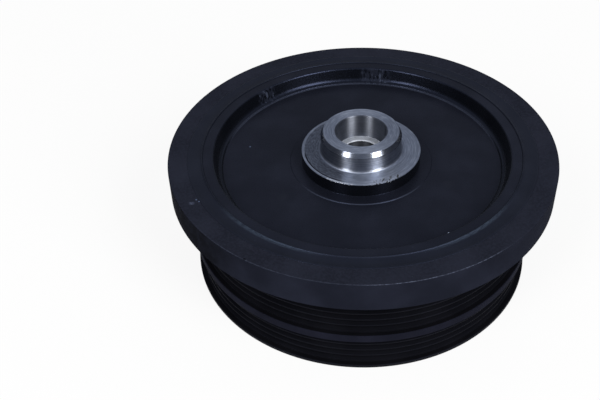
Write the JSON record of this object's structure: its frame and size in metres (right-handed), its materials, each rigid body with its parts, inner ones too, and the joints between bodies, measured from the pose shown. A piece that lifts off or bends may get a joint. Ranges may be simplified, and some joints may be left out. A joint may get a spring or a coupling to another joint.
{
  "type": "harmonic balancer",
  "caption": "Crankshaft vibration damper and belt pulley: a cast hub with a ribbed belt barrel, an inertia ring held on by rubber, and a bored nose for the crank.",
  "frame": {"origin": "on the axis, at the open front end of the belt barrel, which the part stands on", "axes": "+Z along the axis, from the open front end towards the nose that faces the crank"},
  "size_m": [0.18, 0.18, 0.0702],
  "materials": {
    "hub_casting": "black paint over turned and cast iron, with the nose, its bores and the boss face left bare and bright",
    "damper_rubber": "black moulded rubber, painted over with the metal beside it",
    "ring_casting": "satin black paint over cast iron, with a fine grain and small chips on the outer edge"
  },
  "bodies": {
    "root": {"pulley_hub": "hub_casting", "rubber_ring": "damper_rubber", "inertia_ring": "ring_casting"}
  },
  "joints": []
}
